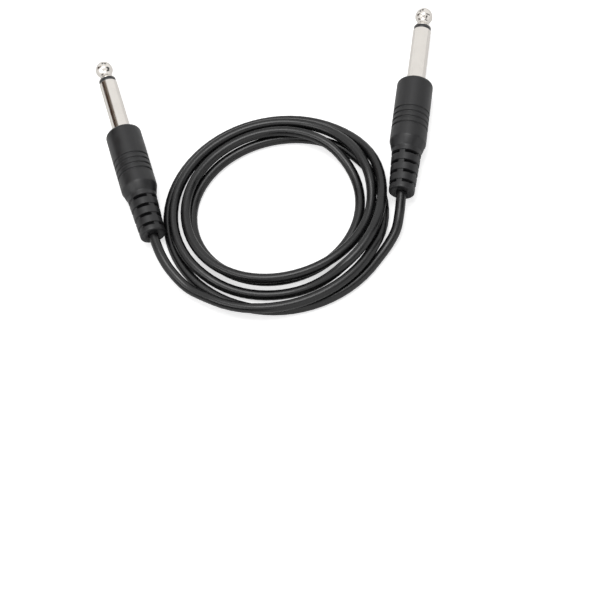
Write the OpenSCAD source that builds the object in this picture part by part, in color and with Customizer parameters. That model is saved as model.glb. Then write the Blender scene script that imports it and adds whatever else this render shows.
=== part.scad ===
// Short coiled patch cable with a straight quarter-inch mono phone plug at each end.
// +Z is up. Both plugs and the coil lie on the plane z = 0, and the origin is on that plane,
// below the middle of the two plugs. End a is the left plug and end b is the right plug.
// A plug is drawn standing on its tip's apex, with its cable side down, and is then laid flat.

/* [Plug contacts] */
// Diameter of the shank, which is the plug's standard size
shank_d = 6.35; // [6.2:0.01:6.4]
// Diameter of the rounded tip
tip_d = 6.2; // [5.9:0.05:6.3]
// Diameter of the waist behind the tip
neck_d = 4.2; // [3.8:0.1:4.8]
// Distance from the tip's apex to its widest place
ball_at = 3.5; // [2.8:0.1:3.8]
// Length of the tip and its waist
tip_len = 8.3; // [7.6:0.1:9]
// Diameter of the black insulating ring
ring_d = 6.0; // [5.8:0.05:6.2]
// Length of the black insulating ring
ring_len = 1.4; // [0.8:0.1:1.8]
// Bare length of the shank behind the ring
sleeve_len = 22.3; // [20:0.1:24]
// Diameter of the rod that carries the tip through the shank
rod_d = 2.0; // [1.6:0.1:2.4]
// Wall of the insulating tube round that rod
tube_wall = 0.7; // [0.5:0.05:0.8]

/* [Moulded handle] */
// Diameter of the handle
handle_d = 12.5; // [11.8:0.1:14]
// Length of the handle's round part
handle_len = 24.6; // [23.6:0.1:30]
// Radius of the handle's front edge
front_round = 1.2; // [0.4:0.1:1.6]
// Distance from the handle's front to its first groove
groove_start = 12.6; // [8:0.1:13]
// Number of finger grooves
groove_count = 4; // [2:1:5]
// Spacing of the finger grooves
groove_pitch = 2.15; // [1.6:0.05:2.3]
// Width of one finger groove
groove_w = 0.8; // [0.5:0.1:1.2]
// Depth of one finger groove
groove_depth = 0.4; // [0.2:0.05:0.6]
// Length of the cone between the handle and the strain relief
shoulder_len = 2.9; // [2:0.1:5]

/* [Strain relief] */
// Diameter of the strain relief at the handle
boot_front_d = 10.2; // [9.2:0.1:10.6]
// Diameter of the strain relief at the cable
boot_rear_d = 8.7; // [7.8:0.1:9]
// Length of the strain relief
boot_len = 16.2; // [15.6:0.1:20]
// Radius of the strain relief's rear lip
rear_lip = 0.4; // [0.2:0.1:0.8]
// Length of the plain ring ahead of the first slot row
slot_lead = 1.8; // [0.6:0.1:2]
// Number of slot rows along the strain relief
slot_rows = 4; // [2:1:4]
// Number of slots round each row
slot_arcs = 4; // [2:1:4]
// Spacing of the slot rows
slot_pitch = 3.75; // [3.2:0.05:3.9]
// Length of one slot along the plug
slot_w = 1.2; // [0.8:0.1:1.6]
// Width of the bars between the slots of a row
slot_bar = 2.2; // [0.8:0.1:2.6]
// How far the bars lie below the rings that they join
bar_drop = 0.35; // [0.1:0.05:0.6]
// Diameter of the core left inside the slots
slot_core_d = 5.6; // [4.6:0.1:6.4]

/* [Terminals inside the handle] */
// Thickness of the two solder lugs
lug_t = 0.5; // [0.3:0.05:0.6]
// Width of the earth lug's strip
earth_lug_w = 3.0; // [2.4:0.1:3.4]
// Width of the tip lug's strip
tip_lug_w = 2.0; // [1.6:0.1:2.4]
// Thickness of the handle's front wall, which grips the shank's neck
front_wall = 1.2; // [0.8:0.1:1.6]
// Depth of the neck that the front wall grips
neck_step = 0.3; // [0.2:0.05:0.4]
// Diameter of the shank's rear flange
flange_d = 8.8; // [8.2:0.1:9.2]
// Thickness of the shank's rear flange
flange_t = 2.5; // [1.5:0.1:3]
// Thickness of the fibre washer between the lugs
washer_t = 1.0; // [0.6:0.1:1.4]
// Diameter of the inner moulding round the terminals
inner_d = 9.4; // [9.3:0.1:9.8]
// Length of the inner moulding
inner_len = 19.4; // [19:0.1:21]

/* [Cable] */
// Diameter of the cable's jacket
cable_d = 3.4; // [3:0.1:3.6]
// Thickness of the jacket
jacket_wall = 0.35; // [0.3:0.05:0.4]
// Diameter of the core's insulation
core_d = 1.9; // [1.6:0.1:2]
// Diameter of the stranded conductor
conductor_d = 0.7; // [0.5:0.05:0.9]
// Length of jacket held in the inner moulding
jacket_held = 5.1; // [4.6:0.1:5.6]
// Length of insulation stripped clear of the jacket
core_bare = 4.6; // [4.2:0.1:5]
// Length of conductor stripped clear of its insulation
wire_bare = 3.4; // [3:0.1:3.8]

/* [Layout] */
// Direction of plug a, turned anticlockwise from +Y
heading_a = 3.3; // [-10:0.1:10]
// Direction of plug b, turned anticlockwise from +Y
heading_b = -21.2; // [-35:0.1:-15]
// Turn of plug a about its own axis, clockwise as seen from its cable end
roll_a = -5; // [-45:1:45]
// Turn of plug b about its own axis, clockwise as seen from its cable end
roll_b = 33; // [-45:1:45]
// Spare gap between crossing turns of the coil, besides the cable's own diameter
coil_room = 0.55; // [0.5:0.05:1]
// Steepest climb of the coil where it crosses itself
coil_climb = 0.42; // [0.35:0.01:0.6]

/* [Hidden] */
$fn = 96;
EPS = 0.01;

// Stations along a plug, measured back from the tip's apex
at_ring = tip_len;
at_sleeve = at_ring + ring_len;
at_front = at_sleeve + sleeve_len;
at_shoulder = at_front + handle_len;
at_boot = at_shoulder + shoulder_len;
at_exit = at_boot + boot_len;
at_flange = at_front + front_wall;
at_earth_lug = at_flange + flange_t;
at_washer = at_earth_lug + lug_t;
at_tip_lug = at_washer + washer_t;
at_rivet = at_tip_lug + lug_t;
at_inner_end = at_earth_lug + inner_len;
at_jacket = at_inner_end - jacket_held;
at_core = at_jacket - core_bare;
at_wire = at_core - wire_bare;

// Radii shared by pieces that fit together
shank_r = shank_d / 2;
rod_r = rod_d / 2;
tube_r = rod_r + tube_wall;
handle_r = handle_d / 2;
cable_r = cable_d / 2;
braid_r = cable_r - jacket_wall;
core_r = core_d / 2;
wire_r = conductor_d / 2;
neck_grip_r = shank_r - neck_step;
rivet_r = rod_r + 0.7;
rivet_len = 0.7;
tip_lug_r = 2.4;
earth_lug_r = flange_d / 2 - 0.4;
washer_r = earth_lug_r - 0.3;
strip_y = lug_t - earth_lug_r;
clamp_r = cable_r + lug_t;
clamp_len = 3.2;
tail_r = 0.55;
solder_r = 1.1;
tongue_y = wire_r + 0.15;

// Places of the strain reliefs' ends, where the cable leaves each plug
exit_a = [-52.5, -32.6];
exit_b = [31.9, -41.5];

// Middle of the coil, seen from above
coil_centre = [-10, -34];

// Reach of the coil from its middle every 45 degrees, clockwise from 45 degrees past +X, so that
// each row of eight is one turn. The first turn leaves plug b and the last one goes to plug a.
station_step = 45;
coil_start = 45;
reaches = [
    37.9, 33.4, 35.3, 36.0, 34.6, 36.6, 38.4, 38.3,
    34.4, 28.6, 30.4, 35.0, 34.4, 32.4, 33.8, 34.4,
    31.4, 25.8, 27.6, 30.0, 31.4, 32.7, 33.0, 31.0,
    29.0, 28.8, 31.1, 31.6, 30.4, 28.9, 29.0, 32.4,
    36.0, 37.5, 39.4
];

// Height order in which the five turns were laid down: 0 is the lowest. A turn hands over to the
// next where the coil's right side runs clear of its neighbours.
laid = [0, 4, 3, 2, 1];
handover = 330;

// Rings of the coil's tube and their angles
rings_per_turn = 24;
coil_sides = 6;
lead_sides = 8;
ring_step = 360 / rings_per_turn;
ring_last = (len(reaches) - 1) * station_step / ring_step;
rings = [for (k = [0:ring_last]) coil_start + k * ring_step];

// Rings this far apart along the cable are never neighbours in the pile
clear_rings = 9;
pile_rounds = 8;
coil_pitch = cable_d + coil_room;

// ---------------------------------------------------------------- coil's path

// Smooth value between b and c, whose neighbours are a and d
function smooth(a, b, c, d, t) = (
    2 * b + (c - a) * t + (2 * a - 5 * b + 4 * c - d) * t * t + (3 * b - a - 3 * c + d) * t * t * t
) / 2;

// Coil's reach at an angle counted on through the turns
function reach_at(angle) =
    let (
        place = (angle - coil_start) / station_step,
        last = len(reaches) - 1,
        i = min(floor(place), last - 1),
        before = i == 0 ? 2 * reaches[0] - reaches[1] : reaches[i - 1],
        after = i == last - 1 ? 2 * reaches[last] - reaches[last - 1] : reaches[i + 2]
    )
    smooth(before, reaches[i], reaches[i + 1], after, place - i);

coil_flat = [for (a = rings) coil_centre + reach_at(a) * [cos(a), -sin(a)]];
coil_rank = [for (a = rings) laid[ceil((a - handover) / 360)]];

// Part of the way from a to b at which point p is nearest
function nearest(p, a, b) = max(0, min(1, ((p - a) * (b - a)) / ((b - a) * (b - a))));

// Running length at each ring
function running(path, k = 0, total = 0) = k == len(path)
    ? []
    : concat([total], running(path, k + 1, k + 1 < len(path) ? total + norm(path[k + 1] - path[k]) : total));
coil_run = running(coil_flat);

// Rings that lie over a stretch of the cable, as [upper ring, stretch, share, rise]
rests_on = [
    for (k = [0:ring_last], j = [0:ring_last - 1])
        if (abs(k - j) >= clear_rings && coil_rank[k] > min(coil_rank[j], coil_rank[j + 1]))
            let (
                share = nearest(coil_flat[k], coil_flat[j], coil_flat[j + 1]),
                gap = norm(coil_flat[k] - coil_flat[j] - share * (coil_flat[j + 1] - coil_flat[j]))
            )
            if (gap < coil_pitch) [k, j, share, sqrt(coil_pitch * coil_pitch - gap * gap)]
];

// Stretches that lie over a ring, as [lower ring, stretch, rise]
bridges = [
    for (k = [0:ring_last], j = [0:ring_last - 1])
        if (abs(k - j) >= clear_rings && coil_rank[k] < min(coil_rank[j], coil_rank[j + 1]))
            let (
                share = nearest(coil_flat[k], coil_flat[j], coil_flat[j + 1]),
                gap = norm(coil_flat[k] - coil_flat[j] - share * (coil_flat[j + 1] - coil_flat[j]))
            )
            if (gap < coil_pitch) [k, j, sqrt(coil_pitch * coil_pitch - gap * gap)]
];

// Lowest height at which each ring clears what it lies on
function propped(z) = [
    for (k = [0:ring_last]) max([
        cable_r,
        for (r = rests_on) if (r[0] == k) z[r[1]] + r[2] * (z[r[1] + 1] - z[r[1]]) + r[3],
        for (b = bridges) if (b[1] == k || b[1] + 1 == k) z[b[0]] + b[2]
    ])
];

// The same heights with ramps between them no steeper than the cable's climb
function ramped(z) = [
    for (k = [0:ring_last]) max([for (j = [0:ring_last]) z[j] - coil_climb * abs(coil_run[k] - coil_run[j])])
];

// Ramps with rounded ends, which never sink below the propped heights
function rounded(ramp, floor_z) = [
    for (k = [0:ring_last])
        max(floor_z[k], (ramp[max(k - 1, 0)] + 2 * ramp[k] + ramp[min(k + 1, ring_last)]) / 4)
];

// Heights of the pile, settled round by round
function settled(z, rounds) = rounds == 0
    ? z
    : let (low = propped(z)) settled(rounded(rounded(ramped(low), low), low), rounds - 1);
coil_z = settled([for (k = [0:ring_last]) cable_r], pile_rounds);
coil_path = [for (k = [0:ring_last]) [coil_flat[k][0], coil_flat[k][1], coil_z[k]]];

// Least gap of the coil to itself, measured between points along it
samples = 5;
near_rings = 6;
coil_points = [for (k = [0:ring_last - 1], s = [0:samples - 1])
    coil_path[k] + s / samples * (coil_path[k + 1] - coil_path[k])];
near_points = near_rings * samples;
coil_gap = min([for (i = [0:len(coil_points) - 1 - near_points])
    min([for (j = [i + near_points:len(coil_points) - 1]) norm(coil_points[i] - coil_points[j])])]) - cable_d;
coil_len = running(coil_path)[ring_last];
echo(coil_gap = coil_gap, coil_length = coil_len, coil_top = max(coil_z) + cable_r);

// ---------------------------------------------------------------- leads' paths

function ahead(heading) = [-sin(heading), cos(heading), 0];
function unit(v) = v / norm(v);
function lift(p, z) = [p[0], p[1], z];

coil_first = coil_path[0];
coil_final = coil_path[ring_last];
first_way = unit(coil_path[1] - coil_path[0]);
final_way = unit(coil_path[ring_last] - coil_path[ring_last - 1]);

// From plug b down to the surface and on to the coil's first ring
lead_b_path = [
    lift(exit_b, handle_r),
    lift(exit_b, handle_r) - cable_d * ahead(heading_b),
    [28.8, -48.6, 5.2],
    [26.1, -52.4, 3.5],
    [23.0, -55.6, 2.2],
    coil_first - cable_d * first_way,
    coil_first
];

// From the coil's last ring along the surface and up to plug a
lead_a_path = [
    coil_final,
    coil_final + cable_d * final_way,
    [-45.2, -53.0, 2.1],
    [-48.6, -47.2, 3.4],
    [-51.0, -41.4, 5.2],
    lift(exit_a, handle_r) - cable_d * ahead(heading_a),
    lift(exit_a, handle_r)
];
echo(lead_a_length = running(lead_a_path)[len(lead_a_path) - 1],
    lead_b_length = running(lead_b_path)[len(lead_b_path) - 1]);

// ---------------------------------------------------------------- shared shapes

// Direction of the path at point k
function way(path, k) = unit(path[min(k + 1, len(path) - 1)] - path[max(k - 1, 0)]);

// Ring of a tube round point k, square to a direction
function tube_ring(point, dir, radius, sides) =
    let (across = unit(cross(dir, [0, 0, 1])), over = cross(across, dir))
    [for (s = [0:sides - 1])
        let (turn = -90 + 360 * s / sides) point + radius * (cos(turn) * across + sin(turn) * over)];

// One closed tube along a path, square to start_way and end_way at its ends
module tube(path, radius, sides, start_way, end_way) {
    last = len(path) - 1;
    ways = [for (k = [0:last]) k == 0 ? start_way : k == last ? end_way : way(path, k)];
    points = [for (k = [0:last]) each tube_ring(path[k], ways[k], radius, sides)];
    walls = [for (k = [0:last - 1], s = [0:sides - 1])
        let (a = k * sides + s, b = k * sides + (s + 1) % sides)
        each [[a, a + sides, b], [b, a + sides, b + sides]]];
    start_cap = [for (s = [1:sides - 2]) [0, s, s + 1]];
    end_cap = [for (s = [1:sides - 2]) [last * sides, last * sides + s + 1, last * sides + s]];
    polyhedron(points = points, faces = concat(walls, start_cap, end_cap));
}

// Solid of revolution between two stations of a plug
module turned(from, to, radius) {
    translate([0, 0, -to]) cylinder(h = to - from, r = radius);
}

// The same with a bore
module bushing(from, to, radius, bore) {
    difference() {
        turned(from, to, radius);
        turned(from - EPS, to + EPS, bore);
    }
}

// Rolls a standing plug and lays it flat, with its cable end at a place on the surface
module laid_plug(exit, heading, roll) {
    translate([exit[0], exit[1], handle_r])
        rotate([0, 0, heading])
            rotate([-90, 0, 0])
                translate([0, 0, at_exit])
                    rotate([0, 0, roll])
                        children();
}

// Strip bent down in a crank: from the height y0 to the height y1 between two stations
module crank(from, bend_from, bend_to, to, y0, y1, width) {
    outer = y0 < 0 ? -lug_t : lug_t;
    translate([width / 2, 0, 0])
        rotate([0, -90, 0])
            linear_extrude(height = width)
                polygon([
                    [-from, y0], [-bend_from, y0], [-bend_to, y1], [-to, y1],
                    [-to, y1 + outer], [-bend_to, y1 + outer], [-bend_from, y0 + outer], [-from, y0 + outer]
                ]);
}

// ---------------------------------------------------------------- plug pieces

// Ball, waist and foot of the tip, with its rod and the rivet that holds the tip lug
module tip_contact() {
    ball_r = tip_d / 2;
    neck_r = neck_d / 2;
    foot_r = ring_d / 2;
    neck_at = tip_len - 2;
    color("gainsboro") {
        rotate_extrude()
            polygon([
                for (t = [0:15:90]) [ball_r * sin(t), -ball_at * (1 - cos(t))],
                for (t = [30:30:180])
                    [
                        (ball_r + neck_r) / 2 + (ball_r - neck_r) / 2 * cos(t),
                        -ball_at - (neck_at - ball_at) * t / 180
                    ],
                [neck_r, -neck_at - 0.5],
                [foot_r, -at_ring + 0.3],
                [foot_r, -at_ring],
                [0, -at_ring]
            ]);
        turned(at_ring - EPS, at_rivet, rod_r);
        turned(at_rivet, at_rivet + rivet_len, rivet_r);
    }
}

// Insulating ring and the tube that lines the shank
module insulating_ring() {
    color("dimgray") {
        bushing(at_ring, at_sleeve, ring_d / 2, rod_r);
        bushing(at_sleeve - EPS, at_washer, tube_r, rod_r);
    }
}

// Shank with the neck that the handle grips and its rear flange
module sleeve() {
    color("silver")
        difference() {
            union() {
                turned(at_sleeve, at_front, shank_r);
                turned(at_front - EPS, at_flange, neck_grip_r);
                turned(at_flange, at_earth_lug, flange_d / 2);
            }
            turned(at_sleeve - EPS, at_earth_lug + EPS, tube_r);
        }
}

// Earth lug: ring behind the flange, cranked strip and the open clamp round the jacket
module earth_lug() {
    color("goldenrod")
        difference() {
            union() {
                turned(at_earth_lug, at_washer, earth_lug_r);
                crank(at_earth_lug, at_core - 1, at_jacket - 0.5, at_jacket + clamp_len + 1,
                    strip_y, -cable_r, earth_lug_w);
                turned(at_jacket + 0.5, at_jacket + 0.5 + clamp_len, clamp_r);
            }
            turned(at_earth_lug - EPS, at_washer + EPS, tube_r);
            turned(at_jacket - 1, at_jacket + clamp_len + 2, cable_r);
            translate([-0.6, 0, -at_jacket - clamp_len - 2])
                cube([1.2, clamp_r + 1, clamp_len + 3]);
        }
}

// Fibre washer between the two lugs
module fibre_washer() {
    color("saddlebrown") bushing(at_washer, at_tip_lug, washer_r, rod_r);
}

// Tip lug: ring below the rivet and a cranked solder tongue
module tip_lug() {
    color("goldenrod")
        difference() {
            union() {
                turned(at_tip_lug, at_rivet, tip_lug_r);
                crank(at_tip_lug, at_rivet + rivet_len + 0.4, at_wire + 0.4, at_wire + 2.8,
                    tip_lug_r - lug_t, tongue_y, tip_lug_w);
            }
            turned(at_tip_lug - EPS, at_rivet + EPS, rod_r);
            turned(at_rivet, at_rivet + rivet_len, rivet_r);
        }
}

// Copper strands, bared ahead of the core's insulation
module conductor() {
    color("darkorange") turned(at_wire, at_exit, wire_r);
}

// Insulation round the conductor
module core_insulation() {
    color("white") bushing(at_core, at_exit, core_r, wire_r);
}

// Braid under the jacket, gathered into a tail that is soldered to the earth lug
module braid() {
    tail_top = [0, -core_r - tail_r, -at_jacket + 1.2];
    tail_foot = [0, strip_y + tail_r, -at_core + 1.6];
    run = tail_foot - tail_top;
    color("peru") {
        bushing(at_jacket - 1.8, at_exit, braid_r, core_r);
        difference() {
            translate(tail_top)
                rotate([-atan2(run[1], run[2]), 0, 0])
                    cylinder(h = norm(run), r = tail_r);
            turned(at_wire, at_exit, core_r);
            turned(at_jacket, at_exit, clamp_r + 1);
        }
    }
}

// Jacket inside the handle, cut square at both ends
module jacket_end() {
    color("dimgray") bushing(at_jacket, at_exit, cable_r, braid_r);
}

// Solder between the conductor and the tip lug's tongue
module tip_solder() {
    color("lightgray")
        difference() {
            translate([0, 0, -at_wire - solder_r - 0.7]) sphere(r = solder_r);
            translate([-solder_r, tongue_y, -at_wire - 3 * solder_r])
                cube([2 * solder_r, solder_r, 4 * solder_r]);
            turned(at_wire - 1, at_core, wire_r);
        }
}

// Solder between the braid's tail and the earth lug's strip
module earth_solder() {
    color("lightgray")
        difference() {
            translate([0, strip_y, -at_core + 2.4]) sphere(r = solder_r);
            translate([-solder_r, strip_y - solder_r - EPS, -at_core])
                cube([2 * solder_r, solder_r + EPS, 4 * solder_r]);
            braid();
        }
}

// Everything that the inner moulding is cast round
module terminals() {
    tip_contact();
    insulating_ring();
    earth_lug();
    fibre_washer();
    tip_lug();
    conductor();
    core_insulation();
    braid();
    jacket_end();
    tip_solder();
    earth_solder();
}

// Inner moulding, cast round the terminals behind the flange
module inner_mould() {
    color("ivory")
        difference() {
            turned(at_earth_lug, at_inner_end, inner_d / 2);
            terminals();
        }
}

// Station of a slot row's middle
function slot_at(row) = at_boot + slot_lead + slot_w / 2 + row * slot_pitch;

// Radius of the strain relief at a station
function boot_r(at) = (boot_front_d + (boot_rear_d - boot_front_d) * (at - at_boot) / boot_len) / 2;

// One row of slots: a ring cut down to the core, but only a little where bars are left standing
module slot_row(radius) {
    difference() {
        cylinder(h = slot_w, r = radius + 1, center = true);
        cylinder(h = slot_w + 1, r = slot_core_d / 2, center = true);
        intersection() {
            cylinder(h = slot_w + 1, r = radius - bar_drop, center = true);
            for (bar = [0:slot_arcs - 1])
                rotate([0, 0, 45 + bar * 360 / slot_arcs])
                    translate([0, -slot_bar / 2, -slot_w])
                        cube([radius, slot_bar, 2 * slot_w]);
        }
    }
}

// Outer moulding: grooved handle, shoulder and slotted strain relief in one piece
module handle() {
    color([0.16, 0.16, 0.17])
        difference() {
            rotate_extrude()
                polygon([
                    [0, -at_front],
                    for (t = [0:15:90])
                        [handle_r - front_round * (1 - sin(t)), -at_front - front_round * (1 - cos(t))],
                    for (g = [0:groove_count - 1])
                        let (mid = at_front + groove_start + g * groove_pitch)
                        each [
                            [handle_r, -mid + groove_w / 2],
                            [handle_r - groove_depth, -mid + groove_w / 4],
                            [handle_r - groove_depth, -mid - groove_w / 4],
                            [handle_r, -mid - groove_w / 2]
                        ],
                    [handle_r, -at_shoulder],
                    [boot_front_d / 2, -at_boot],
                    for (t = [0:30:90])
                        [boot_rear_d / 2 - rear_lip * (1 - cos(t)), -at_exit + rear_lip * (1 - sin(t))],
                    [0, -at_exit]
                ]);
            for (row = [0:slot_rows - 1])
                translate([0, 0, -slot_at(row)]) slot_row(boot_r(slot_at(row)));
            turned(at_front - EPS, at_flange + EPS, neck_grip_r);
            turned(at_flange, at_earth_lug + EPS, flange_d / 2);
            turned(at_earth_lug, at_inner_end, inner_d / 2);
            turned(at_inner_end - EPS, at_exit + EPS, cable_r);
        }
}

// ---------------------------------------------------------------- cable outside the plugs

// Jacketed cable between plug a and the coil
module cable_lead_a() {
    color([0.2, 0.2, 0.2]) tube(lead_a_path, cable_r, lead_sides, final_way, ahead(heading_a));
}

// The cable's loops, one unbroken tube
module cable_coil() {
    color([0.24, 0.24, 0.24]) tube(coil_path, cable_r, coil_sides, first_way, final_way);
}

// Jacketed cable between plug b and the coil
module cable_lead_b() {
    color([0.2, 0.2, 0.2]) tube(lead_b_path, cable_r, lead_sides, -ahead(heading_b), first_way);
}

module end_a() {
    laid_plug(exit_a, heading_a, roll_a) children();
}

module end_b() {
    laid_plug(exit_b, heading_b, roll_b) children();
}

end_a() handle();  // handle_a
end_a() tip_contact();  // tip_contact_a
end_a() insulating_ring();  // insulating_ring_a
end_a() sleeve();  // sleeve_a
end_a() earth_lug();  // earth_lug_a
end_a() fibre_washer();  // fibre_washer_a
end_a() tip_lug();  // tip_lug_a
end_a() inner_mould();  // inner_mould_a
end_a() jacket_end();  // jacket_end_a
end_a() braid();  // braid_a
end_a() core_insulation();  // core_insulation_a
end_a() conductor();  // conductor_a
end_a() tip_solder();  // tip_solder_a
end_a() earth_solder();  // earth_solder_a
end_b() handle();  // handle_b
end_b() tip_contact();  // tip_contact_b
end_b() insulating_ring();  // insulating_ring_b
end_b() sleeve();  // sleeve_b
end_b() earth_lug();  // earth_lug_b
end_b() fibre_washer();  // fibre_washer_b
end_b() tip_lug();  // tip_lug_b
end_b() inner_mould();  // inner_mould_b
end_b() jacket_end();  // jacket_end_b
end_b() braid();  // braid_b
end_b() core_insulation();  // core_insulation_b
end_b() conductor();  // conductor_b
end_b() tip_solder();  // tip_solder_b
end_b() earth_solder();  // earth_solder_b
cable_lead_a();
cable_coil();
cable_lead_b();
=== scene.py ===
"""Looks of a short coiled patch cable with a moulded quarter-inch phone plug at each end.

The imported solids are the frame. The outer mouldings, the plated contacts, the insulating rings and
the cable are modelled again here in finer form, and the sealed inner pieces get their finishes.
Sizes are in millimetres until a mesh is placed, and metres after that.
"""

import logging
import math
from dataclasses import dataclass, field
from enum import Enum
from typing import Callable, Iterable, Sequence

import bmesh
import bpy
import numpy as np
from mathutils import Matrix, Vector


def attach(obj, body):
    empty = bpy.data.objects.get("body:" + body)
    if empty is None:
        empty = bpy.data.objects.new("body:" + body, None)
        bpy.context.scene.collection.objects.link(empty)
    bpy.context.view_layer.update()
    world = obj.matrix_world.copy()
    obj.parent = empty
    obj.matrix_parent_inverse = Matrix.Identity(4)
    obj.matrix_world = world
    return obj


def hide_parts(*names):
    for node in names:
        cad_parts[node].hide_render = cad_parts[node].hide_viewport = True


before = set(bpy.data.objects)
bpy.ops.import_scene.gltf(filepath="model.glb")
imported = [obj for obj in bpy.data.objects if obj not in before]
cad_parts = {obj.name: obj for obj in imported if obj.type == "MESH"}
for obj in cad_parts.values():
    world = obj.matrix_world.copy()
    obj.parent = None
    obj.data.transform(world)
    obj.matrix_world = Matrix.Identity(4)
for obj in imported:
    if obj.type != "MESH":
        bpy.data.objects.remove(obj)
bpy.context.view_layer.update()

MM = 0.001
BODY = "root"
IMAGE_PIXELS = 600
log = logging.getLogger("patch_cable")


class Slot(Enum):
    """Material slots of the record."""

    MOULDING = "moulding_black"
    JACKET = "jacket_black"
    NICKEL = "nickel_plate"
    INSULATOR = "insulator_black"
    LUG = "lug_brass"
    FIBRE = "fibre_brown"
    INNER = "inner_moulding"
    COPPER = "copper_wire"
    CORE = "core_white"
    SOLDER = "solder"


# ---------------------------------------------------------------- colour and nodes


def linear(code: str) -> tuple[float, float, float, float]:
    """Turn an sRGB hex colour into a linear one.

    Args:
        code: Colour such as "#1a1a1c".

    Returns:
        Red, green, blue and an alpha of 1.
    """
    values = [int(code[i : i + 2], 16) / 255 for i in (1, 3, 5)]
    curve = [v / 12.92 if v <= 0.04045 else ((v + 0.055) / 1.055) ** 2.4 for v in values]
    return curve[0], curve[1], curve[2], 1.0


def add_node(tree: bpy.types.NodeTree, kind: str, inputs: dict | None = None, **settings: object) -> bpy.types.Node:
    """Add a node with its settings, and set or link its inputs.

    Args:
        tree: Tree that gets the node.
        kind: Blender's name of the node's type.
        inputs: Socket names or numbers, each with a value or with an output to link.
        settings: Attributes of the node itself.

    Returns:
        The new node.
    """
    node = tree.nodes.new(kind)
    for name, value in settings.items():
        setattr(node, name, value)
    for name, value in (inputs or {}).items():
        if isinstance(value, bpy.types.NodeSocket):
            tree.links.new(value, node.inputs[name])
        else:
            node.inputs[name].default_value = value
    return node


@dataclass(frozen=True)
class Finish:
    """A moulded, cast or plated surface with its grain, mottle and uneven gloss."""

    name: str
    colour: str
    second_colour: str
    roughness: tuple[float, float]
    metallic: float = 0.0
    ior: float = 1.5
    grain_mm: float = 0.35
    grain_depth_mm: float = 0.006
    mottle_mm: float = 6.0
    gloss_mm: float = 3.0

    def build(self) -> bpy.types.Material:
        """Make the material.

        Returns:
            The new node material.
        """
        material = bpy.data.materials.new(self.name)
        material.use_nodes = True
        tree = material.node_tree
        shader = tree.nodes["Principled BSDF"]
        shader.inputs["Metallic"].default_value = self.metallic
        if not self.metallic:
            shader.inputs["IOR"].default_value = self.ior
        place = add_node(tree, "ShaderNodeTexCoord").outputs["Object"]
        self.paint(tree, shader, place)
        self.polish(tree, shader, place)
        self.emboss(tree, shader, place)
        return material

    def paint(self, tree: bpy.types.NodeTree, shader: bpy.types.Node, place: bpy.types.NodeSocket) -> None:
        """Vary the colour slowly between the two colours."""
        cloud = self.noise(tree, place, self.mottle_mm, detail=3.0)
        tone = add_node(
            tree,
            "ShaderNodeMix",
            {0: cloud, 6: linear(self.colour), 7: linear(self.second_colour)},
            data_type="RGBA",
        )
        tree.links.new(tone.outputs[2], shader.inputs["Base Color"])

    def polish(self, tree: bpy.types.NodeTree, shader: bpy.types.Node, place: bpy.types.NodeSocket) -> None:
        """Vary the roughness between its two values."""
        cloud = self.noise(tree, place, self.gloss_mm, detail=4.0)
        spread = add_node(
            tree,
            "ShaderNodeMapRange",
            {"Value": cloud, "From Min": 0.3, "From Max": 0.7, "To Min": self.roughness[0], "To Max": self.roughness[1]},
        )
        tree.links.new(spread.outputs["Result"], shader.inputs["Roughness"])

    def emboss(self, tree: bpy.types.NodeTree, shader: bpy.types.Node, place: bpy.types.NodeSocket) -> None:
        """Give the surface its fine grain."""
        cloud = self.noise(tree, place, self.grain_mm, detail=2.0)
        bump = add_node(
            tree, "ShaderNodeBump", {"Height": cloud, "Distance": self.grain_depth_mm * MM, "Strength": 1.0}
        )
        tree.links.new(bump.outputs["Normal"], shader.inputs["Normal"])

    def noise(
        self, tree: bpy.types.NodeTree, place: bpy.types.NodeSocket, size_mm: float, detail: float
    ) -> bpy.types.NodeSocket:
        """Add noise with features of a real size.

        Args:
            tree: Tree that gets the node.
            place: Coordinates in metres.
            size_mm: Size of one feature.
            detail: Number of finer layers.

        Returns:
            The noise value.
        """
        inputs = {"Vector": place, "Scale": 1 / (size_mm * MM), "Detail": detail, "Roughness": 0.5}
        return add_node(tree, "ShaderNodeTexNoise", inputs).outputs["Fac"]


@dataclass(frozen=True)
class TurnedPlate(Finish):
    """Nickel plate over turned brass: fine lathe rings across the axis break up its reflections."""

    ring_mm: float = 0.16
    ring_depth_mm: float = 0.0012

    def emboss(self, tree: bpy.types.NodeTree, shader: bpy.types.Node, place: bpy.types.NodeSocket) -> None:
        """Run the lathe rings along the piece's UV map, whose V is the station in metres."""
        uv = add_node(tree, "ShaderNodeUVMap", uv_map="turned").outputs["UV"]
        drawn = add_node(tree, "ShaderNodeMapping", {"Vector": uv, "Scale": (0.6, 1 / (self.ring_mm * MM), 1.0)})
        rings = add_node(
            tree, "ShaderNodeTexNoise", {"Vector": drawn.outputs["Vector"], "Scale": 1.0, "Detail": 3.0}
        )
        bump = add_node(
            tree,
            "ShaderNodeBump",
            {"Height": rings.outputs["Fac"], "Distance": self.ring_depth_mm * MM, "Strength": 1.0},
        )
        tree.links.new(bump.outputs["Normal"], shader.inputs["Normal"])


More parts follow.
